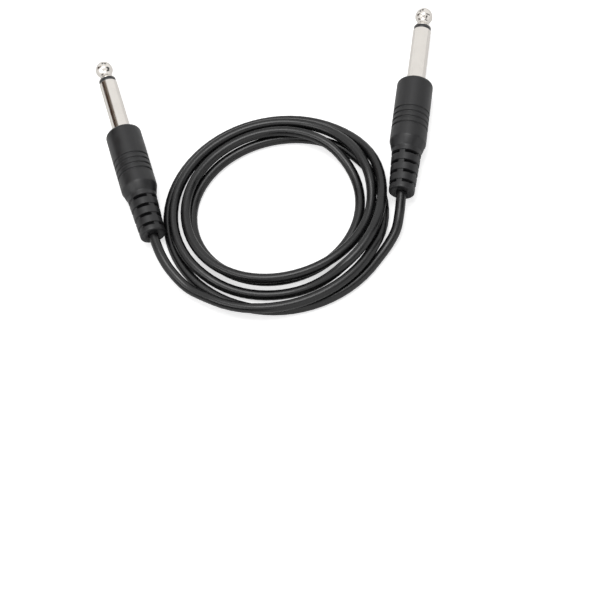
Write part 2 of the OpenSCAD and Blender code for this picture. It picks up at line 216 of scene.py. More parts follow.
FINISHES: dict[Slot, Finish] = {
    # Flexible PVC, injection moulded on a lightly textured tool: satin, with a grey sheen at its edges
    Slot.MOULDING: Finish(
        "moulded_pvc", "#161617", "#1d1d1f", (0.34, 0.46), grain_mm=0.3, grain_depth_mm=0.004, mottle_mm=5.0
    ),
    # Extruded PVC jacket: smoother than the mouldings, with a narrow highlight along its top
    Slot.JACKET: Finish(
        "extruded_pvc_jacket", "#0e0e0f", "#151516", (0.22, 0.31), grain_mm=0.5, grain_depth_mm=0.003, mottle_mm=9.0
    ),
    # Bright nickel on turned brass: a warm, clean mirror with fine lathe rings
    Slot.NICKEL: TurnedPlate("nickel_plate", "#ded9d3", "#e8e4de", (0.12, 0.2), metallic=1.0, mottle_mm=4.0),
    # Glass-filled nylon ring: dark grey and slightly shiny
    Slot.INSULATOR: Finish("moulded_nylon", "#2a2a2b", "#343435", (0.3, 0.4), grain_mm=0.2, grain_depth_mm=0.003),
    # Stamped brass, tinned for soldering: pale yellow and a little rough
    Slot.LUG: Finish("stamped_brass", "#c9ad6c", "#d8c08a", (0.3, 0.45), metallic=1.0, grain_mm=0.2),
    # Vulcanised fibre: matt red-brown sheet
    Slot.FIBRE: Finish("vulcanised_fibre", "#6e3b24", "#824a2e", (0.7, 0.85), grain_mm=0.15, grain_depth_mm=0.01),
    # Natural polyethylene: milky and waxy
    Slot.INNER: Finish("cast_polyethylene", "#d9d6cd", "#e4e1d8", (0.4, 0.5), ior=1.51),
    # Bare copper strands: bright where drawn, duller where handled
    Slot.COPPER: Finish("drawn_copper", "#c46f45", "#d98a5c", (0.25, 0.4), metallic=1.0, grain_mm=0.1),
    # Extruded polyethylene: plain white and smooth
    Slot.CORE: Finish("core_polyethylene", "#e6e6e2", "#efefec", (0.35, 0.45), ior=1.51),
    # Soft solder: grey, with a frosty skin
    Slot.SOLDER: Finish("soft_solder", "#9d9fa2", "#b5b7ba", (0.25, 0.5), metallic=1.0, grain_mm=0.3),
}


@dataclass
class Palette:
    """Makes each finish once and hands it out."""

    made: dict[Slot, bpy.types.Material] = field(default_factory=dict)

    def material(self, slot: Slot) -> bpy.types.Material:
        """Return the material of a slot, made at its first use."""
        if slot not in self.made:
            self.made[slot] = FINISHES[slot].build()
        return self.made[slot]

    def dress(self, piece: bpy.types.Object, slot: Slot) -> None:
        """Give a piece the one material of its slot.

        Args:
            piece: Mesh object.
            slot: Slot that its finish comes from.
        """
        piece.data.materials.clear()
        piece.data.materials.append(self.material(slot))


# ---------------------------------------------------------------- meshes


def mesh_object(name: str, vertices: Sequence, faces: Sequence, smooth: bool = True) -> bpy.types.Object:
    """Make a mesh object from points in metres.

    Args:
        name: Name of the object.
        vertices: Points.
        faces: Corners of each face.
        smooth: Whether the faces are shaded smooth.

    Returns:
        The new object, linked to the scene.
    """
    mesh = bpy.data.meshes.new(name)
    mesh.from_pydata([tuple(v) for v in vertices], [], [tuple(f) for f in faces])
    mesh.validate()
    mesh.polygons.foreach_set("use_smooth", [smooth] * len(mesh.polygons))
    piece = bpy.data.objects.new(name, mesh)
    bpy.context.scene.collection.objects.link(piece)
    return piece


def arc(centre: tuple[float, float], radius: float, start: float, end: float, steps: int) -> list[tuple[float, float]]:
    """Points of an arc in an outline of (radius, station) pairs.

    Args:
        centre: Middle of the arc.
        radius: Its radius.
        start: First angle in degrees, from the outline's radius direction towards growing stations.
        end: Last angle.
        steps: Number of stretches.

    Returns:
        The points, both ends included.
    """
    turns = [math.radians(start + (end - start) * i / steps) for i in range(steps + 1)]
    return [(centre[0] + radius * math.cos(t), centre[1] + radius * math.sin(t)) for t in turns]


def smoothstep(value: np.ndarray) -> np.ndarray:
    """Ease from 0 to 1 as value goes from 0 to 1."""
    t = np.clip(value, 0, 1)
    return t * t * (3 - 2 * t)


@dataclass(frozen=True)
class PlugSizes:
    """Sizes of one plug in millimetres. Stations are measured back from the tip's apex."""

    shank_d: float = 6.35
    tip_d: float = 6.2
    ball_at: float = 3.5
    neck_d: float = 4.2
    tip_len: float = 8.3
    ring_d: float = 6.0
    ring_len: float = 1.4
    sleeve_len: float = 22.3
    rod_d: float = 2.0
    tube_wall: float = 0.7
    rivet_step: float = 0.7
    handle_d: float = 12.5
    handle_len: float = 24.6
    front_round: float = 1.2
    front_wall: float = 1.2
    neck_step: float = 0.3
    groove_start: float = 12.6
    groove_count: int = 4
    groove_pitch: float = 2.15
    groove_w: float = 0.8
    groove_depth: float = 0.4
    shoulder_len: float = 2.9
    boot_front_d: float = 10.2
    boot_rear_d: float = 8.7
    boot_len: float = 16.2
    rear_lip: float = 0.4
    slot_lead: float = 1.8
    slot_rows: int = 4
    slot_arcs: int = 4
    slot_pitch: float = 3.75
    slot_w: float = 1.2
    slot_bar: float = 2.2
    bar_drop: float = 0.35
    slot_core_d: float = 5.6
    cable_d: float = 3.4
    flange_d: float = 8.8
    flange_t: float = 2.5
    lug_t: float = 0.5
    washer_t: float = 1.0
    inner_d: float = 9.4
    inner_len: float = 19.4

    @property
    def at_sleeve(self) -> float:
        """Station where the shank starts."""
        return self.tip_len + self.ring_len

    @property
    def at_front(self) -> float:
        """Station of the handle's front."""
        return self.at_sleeve + self.sleeve_len

    @property
    def at_shoulder(self) -> float:
        """Station where the handle starts to narrow."""
        return self.at_front + self.handle_len

    @property
    def at_boot(self) -> float:
        """Station where the strain relief starts."""
        return self.at_shoulder + self.shoulder_len

    @property
    def at_exit(self) -> float:
        """Station of the strain relief's end."""
        return self.at_boot + self.boot_len

    @property
    def at_flange(self) -> float:
        """Station of the shank's rear flange."""
        return self.at_front + self.front_wall

    @property
    def at_lug(self) -> float:
        """Station of the earth lug, behind the flange."""
        return self.at_flange + self.flange_t

    @property
    def at_washer(self) -> float:
        """Station of the fibre washer."""
        return self.at_lug + self.lug_t

    @property
    def at_rivet(self) -> float:
        """Station of the rivet head behind the tip lug."""
        return self.at_washer + self.washer_t + self.lug_t

    @property
    def tube_r(self) -> float:
        """Radius of the insulating tube inside the shank."""
        return self.rod_d / 2 + self.tube_wall

    @property
    def neck_grip_r(self) -> float:
        """Radius of the shank's neck, which the handle's front wall grips."""
        return self.shank_d / 2 - self.neck_step


@dataclass(frozen=True)
class Seat:
    """Where a plug lies: its cable exit on the surface, its heading and its roll."""

    letter: str
    exit_mm: tuple[float, float]
    heading: float
    roll: float

    def ahead(self) -> Vector:
        """Unit vector from the cable exit towards the tip."""
        turn = math.radians(self.heading)
        return Vector((-math.sin(turn), math.cos(turn), 0))

    def exit_point(self, sizes: PlugSizes) -> Vector:
        """Return the cable exit's middle in millimetres."""
        return Vector((*self.exit_mm, sizes.handle_d / 2))

    def matrix(self, sizes: PlugSizes) -> Matrix:
        """Place of a standing plug in the row frame.

        Args:
            sizes: The plug's sizes.

        Returns:
            Matrix from standing millimetres, tip up and apex at zero, to metres in the row frame.
        """
        return (
            Matrix.Scale(MM, 4)
            @ Matrix.Translation(self.exit_point(sizes))
            @ Matrix.Rotation(math.radians(self.heading), 4, "Z")
            @ Matrix.Rotation(math.radians(-90), 4, "X")
            @ Matrix.Translation((0, 0, sizes.at_exit))
            @ Matrix.Rotation(math.radians(self.roll), 4, "Z")
        )


@dataclass
class Lathe:
    """Turns closed or open outlines of (radius, station) pairs into meshes on a plug's axis."""

    place: Matrix
    columns: int = 96

    def turn(self, name: str, outline: Sequence[tuple[float, float]]) -> bpy.types.Object:
        """Revolve an outline that starts and ends on the axis or closes on itself.

        Args:
            name: Name of the piece.
            outline: Points from the tip side outside to the cable side.

        Returns:
            The new piece, with its UV map "turned" in metres along V.
        """
        angles = np.linspace(0, 2 * math.pi, self.columns, endpoint=False)
        radii = np.array([[p[0]] * self.columns for p in outline])
        return self.wrap(name, angles, radii, [p[1] for p in outline])

    def wrap(
        self, name: str, angles: np.ndarray, radii: np.ndarray, stations: Sequence[float]
    ) -> bpy.types.Object:
        """Skin rings of points, each with its own radius at each angle, as a closed band of rows.

        Args:
            name: Name of the piece.
            angles: Angle of each column.
            radii: Radius of each row's points.
            stations: Station of each row.

        Returns:
            The new piece.
        """
        rows, columns = radii.shape
        points = [
            self.place @ Vector((r * math.cos(a), r * math.sin(a), -s))
            for row, s in zip(radii, stations)
            for r, a in zip(row, angles)
        ]
        faces, uvs = [], []
        for i in range(rows):
            j = (i + 1) % rows
            if max(radii[i].max(), radii[j].max()) < 1e-6:
                continue
            for c in range(columns):
                d = (c + 1) % columns
                faces.append((i * columns + c, j * columns + c, j * columns + d, i * columns + d))
                u0, u1 = c / columns, (c + 1) / columns
                v0, v1 = stations[i] * MM, stations[j] * MM
                uvs.extend([(u0, v0), (u0, v1), (u1, v1), (u1, v0)])
        mesh = bpy.data.meshes.new(name)
        mesh.from_pydata([tuple(p) for p in points], [], faces)
        layer = mesh.uv_layers.new(name="turned")
        layer.data.foreach_set("uv", [x for uv in uvs for x in uv])
        piece = bpy.data.objects.new(name, mesh)
        bpy.context.scene.collection.objects.link(piece)
        self.weld(piece)
        return piece

    @staticmethod
    def weld(piece: bpy.types.Object) -> None:
        """Close the poles, turn the faces outwards and shade them smooth."""
        work = bmesh.new()
        work.from_mesh(piece.data)
        bmesh.ops.remove_doubles(work, verts=work.verts, dist=1e-7)
        bmesh.ops.dissolve_degenerate(work, edges=work.edges, dist=1e-8)
        bmesh.ops.recalc_face_normals(work, faces=work.faces)
        for face in work.faces:
            face.smooth = True
        work.to_mesh(piece.data)
        work.free()


@dataclass
class Plug:
    """One moulded phone plug: its outer moulding, contacts and sealed inner pieces."""

    seat: Seat
    palette: Palette
    sizes: PlugSizes = field(default_factory=PlugSizes)
    inner_slots: tuple[tuple[str, Slot], ...] = (
        ("earth_lug", Slot.LUG),
        ("fibre_washer", Slot.FIBRE),
        ("tip_lug", Slot.LUG),
        ("inner_mould", Slot.INNER),
        ("jacket_end", Slot.JACKET),
        ("braid", Slot.COPPER),
        ("core_insulation", Slot.CORE),
        ("conductor", Slot.COPPER),
        ("tip_solder", Slot.SOLDER),
        ("earth_solder", Slot.SOLDER),
    )

    def node(self, name: str) -> str:
        """Return the name of one of this plug's CAD nodes."""
        return f"{name}_{self.seat.letter}"

    def finish_piece(self, piece: bpy.types.Object, node: str, slot: Slot) -> None:
        """Let a modelled piece stand for its CAD node.

        Args:
            piece: The modelled piece.
            node: Name of the node without the plug's letter.
            slot: Slot of its finish.
        """
        self.palette.dress(piece, slot)
        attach(piece, BODY)
        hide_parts(self.node(node))
        log.info("%s stands for %s", piece.name, self.node(node))

    def build(self) -> None:
        """Build every piece of the plug."""
        lathe = Lathe(self.seat.matrix(self.sizes))
        self.build_tip(lathe)
        self.build_ring(lathe)
        self.build_sleeve(lathe)
        self.build_handle(lathe)
        for name, slot in self.inner_slots:
            self.palette.dress(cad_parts[self.node(name)], slot)

    def build_tip(self, lathe: Lathe) -> None:
        """Build the rounded tip, its waist and the rod behind it."""
        s = self.sizes
        ball, neck, foot, rod = s.tip_d / 2, s.neck_d / 2, s.ring_d / 2, s.rod_d / 2
        neck_at = s.tip_len - 2.0
        middle, swing = (ball + neck) / 2, (ball - neck) / 2
        nose = [math.radians(t) for t in range(0, 91, 5)]
        waist = [math.radians(t) for t in range(10, 181, 10)]
        outline = [(ball * math.sin(t), s.ball_at * (1 - math.cos(t))) for t in nose]
        outline += [(middle + swing * math.cos(t), s.ball_at + (neck_at - s.ball_at) * t / math.pi) for t in waist]
        outline += [(neck, neck_at + 0.45), (neck + 0.04, neck_at + 0.55), (foot - 0.06, s.tip_len - 0.34)]
        outline += [(foot, s.tip_len - 0.26), (foot, s.tip_len - 0.05), (foot - 0.05, s.tip_len)]
        outline += [(rod, s.tip_len), (rod, s.at_rivet), (rod + s.rivet_step, s.at_rivet)]
        end = s.at_rivet + s.rivet_step
        outline += [(rod + s.rivet_step, end - 0.2), (rod + s.rivet_step - 0.2, end), (0.0, end)]
        self.finish_piece(lathe.turn(self.node("plated_tip"), outline), "tip_contact", Slot.NICKEL)

    def build_ring(self, lathe: Lathe) -> None:
        """Build the insulating ring and the tube behind it."""
        s = self.sizes
        outer, bore, lip = s.ring_d / 2, s.rod_d / 2, 0.08
        outline = [(bore, s.tip_len), (outer - lip, s.tip_len), (outer, s.tip_len + lip)]
        outline += [(outer, s.at_sleeve - lip), (outer - lip, s.at_sleeve), (s.tube_r, s.at_sleeve)]
        outline += [(s.tube_r, s.at_washer), (bore, s.at_washer)]
        self.finish_piece(lathe.turn(self.node("nylon_ring"), outline), "insulating_ring", Slot.INSULATOR)

    def build_sleeve(self, lathe: Lathe) -> None:
        """Build the plated shank with its rounded ends, the neck in the handle and the rear flange."""
        s = self.sizes
        shank, edge, guard = s.shank_d / 2, 0.16, 0.03
        outline = [(s.tube_r, s.at_sleeve), (shank - edge, s.at_sleeve)]
        outline += arc((shank - edge, s.at_sleeve + edge), edge, -90, 0, 4)[1:]
        # Guard rings keep the long face's shading straight between the end rounds
        outline += [(shank, s.at_sleeve + edge + guard), (shank, s.at_front - edge / 2 - guard)]
        outline += arc((shank - edge / 2, s.at_front - edge / 2), edge / 2, 0, 90, 3)
        outline += [(s.neck_grip_r, s.at_front), (s.neck_grip_r, s.at_flange), (s.flange_d / 2, s.at_flange)]
        outline += [(s.flange_d / 2, s.at_lug), (s.tube_r, s.at_lug)]
        self.finish_piece(lathe.turn(self.node("plated_shank"), outline), "sleeve", Slot.NICKEL)

    def build_handle(self, lathe: Lathe) -> None:
        """Build the outer moulding: grooved grip, shoulder and slotted strain relief."""
        outline = self.handle_outline()
        angles = self.slot_angles()
        stations = np.array([p[1] for p in outline])
        radii = np.repeat(np.array([[p[0]] for p in outline]), len(angles), axis=1)
        outside = self.outside_count
        depth = self.slot_depth(angles, stations[:outside], radii[:outside])
        radii[:outside] -= depth
        piece = lathe.wrap(self.node("moulded_handle"), angles, radii, list(stations))
        self.finish_piece(piece, "handle", Slot.MOULDING)

    def handle_outline(self) -> list[tuple[float, float]]:
        """Closed outline of the moulding, outside first and then back along the inside.

        Returns:
            Pairs of radius and station. self.outside_count of them are outside.
        """
        s = self.sizes
        grip, front, rear, cable = s.handle_d / 2, s.boot_front_d / 2, s.boot_rear_d / 2, s.cable_d / 2
        outline = [(s.neck_grip_r, s.at_front)]
        outline += arc((grip - s.front_round, s.at_front + s.front_round), s.front_round, -90, 0, 8)
        guard = 0.08
        outline.append((grip, s.at_front + s.front_round + guard))
        for i in range(s.groove_count):
            middle = s.at_front + s.groove_start + i * s.groove_pitch
            outline += self.groove(grip, middle)
        edge = 0.7
        outline += [(grip, s.at_shoulder - edge - guard), (grip, s.at_shoulder - edge), (grip - 0.03, s.at_shoulder - edge / 2)]
        outline += [(grip - 0.12, s.at_shoulder), (grip - 0.3, s.at_shoulder + edge / 2)]
        outline += [(front + 0.3, s.at_boot - 0.45), (front + 0.1, s.at_boot - 0.18), (front, s.at_boot)]
        last = s.at_exit - s.rear_lip
        for station in self.slot_stations():
            if s.at_boot < station < last:
                outline.append((self.boot_radius(station), station))
        outline += arc((rear - s.rear_lip, last), s.rear_lip, 0, 90, 6)
        outline += [(cable + 0.14, s.at_exit), (cable + 0.03, s.at_exit - 0.12)]
        self.outside_count = len(outline)
        inner_end = s.at_lug + s.inner_len
        outline += [(cable, s.at_exit - 0.5), (cable, inner_end), (s.inner_d / 2, inner_end)]
        outline += [(s.inner_d / 2, s.at_lug), (s.flange_d / 2, s.at_lug), (s.flange_d / 2, s.at_flange)]
        outline += [(s.neck_grip_r, s.at_flange)]
        return outline

    def groove(self, grip: float, middle: float) -> list[tuple[float, float]]:
        """Outline of one finger groove with rounded lips and floor.

        Args:
            grip: Radius of the handle.
            middle: Station of the groove's middle.

        Returns:
            Pairs of radius and station.
        """
        s = self.sizes
        half, depth, lip = s.groove_w / 2, s.groove_depth, 0.08
        side = [(0.0, half + lip + 0.05), (0.0, half + lip), (0.03, half), (depth * 0.6, half * 0.82), (depth * 0.95, half * 0.55)]
        ahead = [(grip - sunk, middle - along) for sunk, along in side]
        behind = [(grip - sunk, middle + along) for sunk, along in reversed(side)]
        return [*ahead, (grip - depth, middle), *behind]

    def boot_radius(self, station: float) -> float:
        """Radius of the strain relief at a station."""
        s = self.sizes
        share = (station - s.at_boot) / s.boot_len
        return (s.boot_front_d + (s.boot_rear_d - s.boot_front_d) * share) / 2

    def slot_middles(self) -> list[float]:
        """Stations of the slot rows' middles."""
        s = self.sizes
        first = s.at_boot + s.slot_lead + s.slot_w / 2
        return [first + i * s.slot_pitch for i in range(s.slot_rows)]

    def slot_stations(self) -> list[float]:
        """Stations of the strain relief's rows of points, close together at the slots' lips."""
        s = self.sizes
        near = [-0.24, -0.12, -0.06, 0.0, 0.06, 0.12, 0.24]
        found = [s.at_boot + 0.4, s.at_boot + 0.9, s.at_boot + 1.3]
        for middle in self.slot_middles():
            for side in (-1, 1):
                found += [middle + side * s.slot_w / 2 + d for d in near]
            found += [middle, middle + s.slot_pitch / 2 - 0.2, middle + s.slot_pitch / 2 + 0.2]
        return sorted(found)

    def slot_angles(self) -> np.ndarray:
        """Angles of the moulding's columns, close together at the slots' ends."""
        s = self.sizes
        reach = s.boot_front_d / 2
        near = np.radians(np.array([-8, -4, -2, -1, 0, 1, 2, 4, 8]))
        found: list[float] = []
        step = 2 * math.pi / s.slot_arcs
        for i in range(s.slot_arcs):
            bar = math.radians(45) + i * step
            half = s.slot_bar / 2 / reach
            for side in (-1, 1):
                found += list(bar + side * half + near * 0.9)
            found += list(np.linspace(bar + half + 0.2, bar + step - half - 0.2, 14))
        return np.array(sorted({round(a % (2 * math.pi), 5) for a in found}))

    def slot_depth(self, angles: np.ndarray, stations: np.ndarray, radii: np.ndarray) -> np.ndarray:
        """How far each outer point is pressed in by the slots.

        Args:
            angles: Angle of each column.
            stations: Station of each row.
            radii: Outer radius at each point.

        Returns:
            Depth at each point, in millimetres.
        """
        s = self.sizes
        step = 2 * math.pi / s.slot_arcs
        corner, lip = 0.32, 0.14
        to_bar = (angles - math.radians(45) + step / 2) % step - step / 2
        across = np.abs(to_bar)[None, :] * radii
        half_arc = step / 2 * radii
        half_length = half_arc - s.slot_bar / 2
        side = half_arc - across
        deepest = np.zeros_like(radii)
        for middle in self.slot_middles():
            along = np.abs(stations - middle)[:, None]
            dx = side - (half_length - corner)
            dy = along - (s.slot_w / 2 - corner)
            outside = np.hypot(np.maximum(dx, 0), np.maximum(dy, 0)) + np.minimum(np.maximum(dx, dy), 0)
            inset = corner - outside
            full = radii - s.slot_core_d / 2
            deepest = np.maximum(deepest, full * smoothstep(inset / lip + 0.5))
            bars = s.bar_drop * smoothstep((s.slot_w / 2 - along) / lip + 0.5)
            deepest = np.maximum(deepest, bars)
        boot = (stations >= s.at_boot - 0.5)[:, None]
        return np.where(boot, deepest, 0.0)


# ---------------------------------------------------------------- the cable


@dataclass(frozen=True)
class Turn:
    """Shape of the coil where a turn starts, in millimetres: an oval whose middle lies off the coil's."""

    reach: float
    east: float
    south: float
    oval: float

    def values(self) -> np.ndarray:
        """Return the four sizes in order."""
        return np.array([self.reach, self.east, self.south, self.oval])


@dataclass
class PatchCord:
    """The jacketed cable between the plugs: two leads and a loose coil of 4.25 turns.

    The turns narrow to the third and widen again in the fourth. The last one swings out under the
    others towards its plug, and the first is pressed in where it passes the other plug.
    """

    start: Seat
    end: Seat
    palette: Palette
    sizes: PlugSizes = field(default_factory=PlugSizes)
    centre: tuple[float, float] = (-10.0, -34.0)
    first_angle: float = 45.0
    turn_count: float = 4.25
    turns: tuple[Turn, ...] = (
        Turn(39.0, 1.0, -1.0, 0.0),
        Turn(35.5, 0.5, -2.0, 1.5),
        Turn(31.5, 0.0, -3.5, 1.0),
        Turn(28.0, 0.0, -2.0, 0.5),
        Turn(29.5, 0.0, 0.0, 1.5),
        Turn(30.0, 0.0, 0.0, 1.0),
    )
    swing_out: float = 9.5
    swing_from: float = 1300.0
    swing_over: float = 275.0
    press_in: float = 1.5
    press_at: float = 375.0
    press_over: float = 50.0
    laid: tuple[int, ...] = (0, 4, 3, 2, 1)
    handover: float = 330.0
    room: float = 0.2
    climb: float = 0.42
    ring_degrees: float = 5.0
    rounds: int = 8
    smoothing: int = 14
    first_lead: tuple[tuple[float, float, float], ...] = (
        (29.2, -48.6, 5.3),
        (26.6, -53.4, 3.6),
        (22.6, -57.4, 2.2),
    )
    last_lead: tuple[tuple[float, float, float], ...] = (
        (-45.0, -54.6, 3.9),
        (-49.2, -47.4, 5.0),
        (-51.4, -40.6, 5.9),
    )
    lead_steps: int = 6
    held_mm: float = 0.6

    def reach(self, angle: float) -> float:
        """Reach of the coil from its middle at an angle counted on through the turns."""
        place = (angle - self.first_angle) / 360
        i = int(place)
        shapes = [turn.values() for turn in self.turns]
        before = 2 * shapes[0] - shapes[1] if i == 0 else shapes[i - 1]
        after = 2 * shapes[-1] - shapes[-2] if i + 2 == len(shapes) else shapes[i + 2]
        size, east, south, oval = smooth_between(before, shapes[i], shapes[i + 1], after, place - i)
        turn = math.radians(angle)
        swing = self.swing_out * smoothstep((angle - self.swing_from) / self.swing_over)
        press = self.press_in * smoothstep(1 - abs(angle - self.press_at) / self.press_over)
        return size + east * math.cos(turn) + south * math.sin(turn) + oval * math.cos(2 * turn) + swing - press

    def coil_points(self) -> np.ndarray:
        """Points of the coil's middle line, settled on each other.

        Returns:
            Array of points in millimetres.
        """
        last_angle = self.first_angle + self.turn_count * 360
        angles = np.arange(self.first_angle, last_angle + 1e-6, self.ring_degrees)
        reach = np.array([self.reach(a) for a in angles])
        turn = np.radians(angles)
        flat = np.column_stack((self.centre[0] + reach * np.cos(turn), self.centre[1] - reach * np.sin(turn)))
        order = np.array([self.laid[math.ceil((a - self.handover) / 360 - 1e-9)] for a in angles])
        heights = self.settle(flat, order)
        return np.column_stack((flat, heights))

    def settle(self, flat: np.ndarray, order: np.ndarray) -> np.ndarray:
        """Heights at which the turns lie on each other in the order they were laid.

        Args:
            flat: Middle line seen from above.
            order: Laying order of each point.

        Returns:
            Height of each point.
        """
        radius = self.sizes.cable_d / 2
        pitch = self.sizes.cable_d + self.room
        count = len(flat)
        clear = int(round(135 / self.ring_degrees))
        starts, spans = flat[:-1], np.diff(flat, axis=0)
        run = np.concatenate(([0.0], np.cumsum(np.linalg.norm(spans, axis=1))))
        lengths = (spans**2).sum(axis=1)
        upper: list[tuple[int, int, float, float]] = []
        lower: list[tuple[int, int, float]] = []
        for k in range(count):
            share = np.clip(((flat[k] - starts) * spans).sum(axis=1) / lengths, 0, 1)
            gap = np.linalg.norm(flat[k] - starts - share[:, None] * spans, axis=1)
            for j in np.nonzero((gap < pitch) & (np.abs(np.arange(count - 1) - k) >= clear))[0]:
                rise = math.sqrt(pitch**2 - gap[j] ** 2)
                least = min(order[j], order[j + 1])
                if order[k] > least:
                    upper.append((k, int(j), float(share[j]), rise))
                elif order[k] < least:
                    lower.append((k, int(j), rise))
        apart = np.abs(run[:, None] - run[None, :])
        heights = np.full(count, radius)
        for _ in range(self.rounds):
            low = np.full(count, radius)
            for k, j, share_at, rise in upper:
                low[k] = max(low[k], heights[j] + share_at * (heights[j + 1] - heights[j]) + rise)
            for k, j, rise in lower:
                low[j : j + 2] = np.maximum(low[j : j + 2], heights[k] + rise)
            ramp = (low[None, :] - self.climb * apart).max(axis=1)
            for _ in range(self.smoothing):
                padded = np.concatenate((ramp[:1], ramp, ramp[-1:]))
                ramp = np.maximum(low, (padded[:-2] + 2 * padded[1:-1] + padded[2:]) / 4)
            heights = ramp
        return heights

    def route(self) -> list[Vector]:
        """Whole middle line from the first plug to the second, in metres."""
        coil = self.coil_points()
        first = np.array(self.start.exit_point(self.sizes))
        last = np.array(self.end.exit_point(self.sizes))
        lead_in = self.smooth_run([first, *self.first_lead, coil[0], coil[1]])[: -self.lead_steps]
        lead_out = self.smooth_run([coil[-2], coil[-1], *self.last_lead, last])[self.lead_steps :]
        held_first = first + self.held_mm * np.array(self.start.ahead())
        held_last = last + self.held_mm * np.array(self.end.ahead())
        points = [held_first, *lead_in[:-1], *coil, *lead_out[1:], held_last]
        return [Vector(p) * MM for p in points]

    def smooth_run(self, given: Sequence) -> list[np.ndarray]:
        """Smooth line through a few chosen points.

        Args:
            given: The points, in millimetres.

        Returns:
            Every stretch in lead_steps parts, both ends included.
        """
        spots = [np.array(p, dtype=float) for p in given]
        before = 2 * spots[0] - spots[1]
        after = 2 * spots[-1] - spots[-2]
        padded = [before, *spots, after]
        run = [
            smooth_between(*padded[i : i + 4], k / self.lead_steps)
            for i in range(len(spots) - 1)
            for k in range(self.lead_steps)
        ]
        return [*run, spots[-1]]

    def build(self) -> bpy.types.Object:
        """Returns:
            The cable's jacket.
        """
        points = self.route()
        line = bpy.data.curves.new("cable_line", "CURVE")
        line.dimensions = "3D"
        spline = line.splines.new("POLY")
        spline.points.add(len(points) - 1)
        spline.points.foreach_set("co", [x for p in points for x in (*p, 1.0)])
        holder = bpy.data.objects.new("cable_line", line)
        bpy.context.scene.collection.objects.link(holder)
        tree = sweep_tree(self.palette.material(Slot.JACKET))
        mesh = baked_nodes(holder, tree, {"Radius": self.sizes.cable_d / 2 * MM, "Sides": 24})
        bpy.data.objects.remove(holder)
        piece = bpy.data.objects.new("cable_jacket", mesh)
        bpy.context.scene.collection.objects.link(piece)
        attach(piece, BODY)
        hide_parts("cable_lead_a", "cable_coil", "cable_lead_b")
        tuple(self.start.exit_point(self.sizes) * MM)
        return piece


def smooth_between(a: np.ndarray, b: np.ndarray, c: np.ndarray, d: np.ndarray, t: float) -> np.ndarray:
    """Smooth values between b and c, whose neighbours are a and d."""
    square, cube = t * t, t * t * t
    return (2 * b + (c - a) * t + (2 * a - 5 * b + 4 * c - d) * square + (3 * b - a - 3 * c + d) * cube) / 2


def sweep_tree(material: bpy.types.Material) -> bpy.types.NodeTree:
    """Geometry nodes that sweep a round section along a line.

    Args:
        material: Finish of the swept tube.

    Returns:
        The new tree, with the inputs Radius and Sides.
    """
    tree = bpy.data.node_groups.new("swept_tube", "GeometryNodeTree")
    tree.interface.new_socket("Geometry", in_out="INPUT", socket_type="NodeSocketGeometry")
    tree.interface.new_socket("Radius", in_out="INPUT", socket_type="NodeSocketFloat")
    tree.interface.new_socket("Sides", in_out="INPUT", socket_type="NodeSocketInt")
    tree.interface.new_socket("Geometry", in_out="OUTPUT", socket_type="NodeSocketGeometry")
    given = add_node(tree, "NodeGroupInput").outputs
    section = add_node(
        tree, "GeometryNodeCurvePrimitiveCircle", {"Radius": given["Radius"], "Resolution": given["Sides"]}
    )
    tube = add_node(
        tree,
        "GeometryNodeCurveToMesh",
        {"Curve": given["Geometry"], "Profile Curve": section.outputs["Curve"], "Fill Caps": True},
    )
    shaded = add_node(tree, "GeometryNodeSetShadeSmooth", {"Geometry": tube.outputs["Mesh"]})
    real = add_node(tree, "GeometryNodeRealizeInstances", {"Geometry": shaded.outputs["Geometry"]})
    dressed = add_node(
        tree, "GeometryNodeSetMaterial", {"Geometry": real.outputs["Geometry"], "Material": material}
    )
    add_node(tree, "NodeGroupOutput", {"Geometry": dressed.outputs["Geometry"]})
    return tree


def baked_nodes(holder: bpy.types.Object, tree: bpy.types.NodeTree, values: dict[str, object]) -> bpy.types.Mesh:
    """Run a geometry node tree on an object and return what it makes as a plain mesh.

    Args:
        holder: Object that the tree works on.
        tree: The tree.
        values: Its inputs by name.

    Returns:
        The new mesh. The modifier is removed again.
    """
    modifier = holder.modifiers.new(tree.name, "NODES")
    modifier.node_group = tree
    for item in tree.interface.items_tree:
        if item.item_type == "SOCKET" and item.in_out == "INPUT" and item.name in values:
            modifier[item.identifier] = values[item.name]
    view = bpy.context.evaluated_depsgraph_get()
    mesh = bpy.data.meshes.new_from_object(holder.evaluated_get(view), depsgraph=view)
    holder.modifiers.remove(modifier)
    return mesh


# ---------------------------------------------------------------- studio


@dataclass(frozen=True)
class Camera:
    """Camera above and in front of the cable, rolled a little to the right."""

    look_at_mm: tuple[float, float, float] = (-10.25, -67.5, 0.0)
    elevation: float = 62.0
    roll: float = 15.0
    distance_mm: float = 550.0
    pixels_per_mm: float = 3.02
    sensor_mm: float = 36.0

    def build(self) -> bpy.types.Object:
        """Make the scene's camera.

        Returns:
            The camera object.
        """
        tilt, turn = math.radians(self.elevation), math.radians(self.roll)
        back = Vector((0, -math.cos(tilt), math.sin(tilt)))
        up = Vector((0, math.sin(tilt), math.cos(tilt)))
        right = Vector((1, 0, 0))
        image_right = math.cos(turn) * right - math.sin(turn) * up
        image_up = math.sin(turn) * right + math.cos(turn) * up
        data = bpy.data.cameras.new("camera")
        data.sensor_width = self.sensor_mm
        data.lens = self.pixels_per_mm * self.distance_mm * self.sensor_mm / IMAGE_PIXELS
        data.clip_start = 0.01
        camera = bpy.data.objects.new("camera", data)
        bpy.context.scene.collection.objects.link(camera)
        turned = Matrix((image_right, image_up, back)).transposed().to_4x4()
        place = Vector(self.look_at_mm) * MM + back * self.distance_mm * MM
        camera.matrix_world = Matrix.Translation(place) @ turned
        bpy.context.scene.camera = camera
        return camera


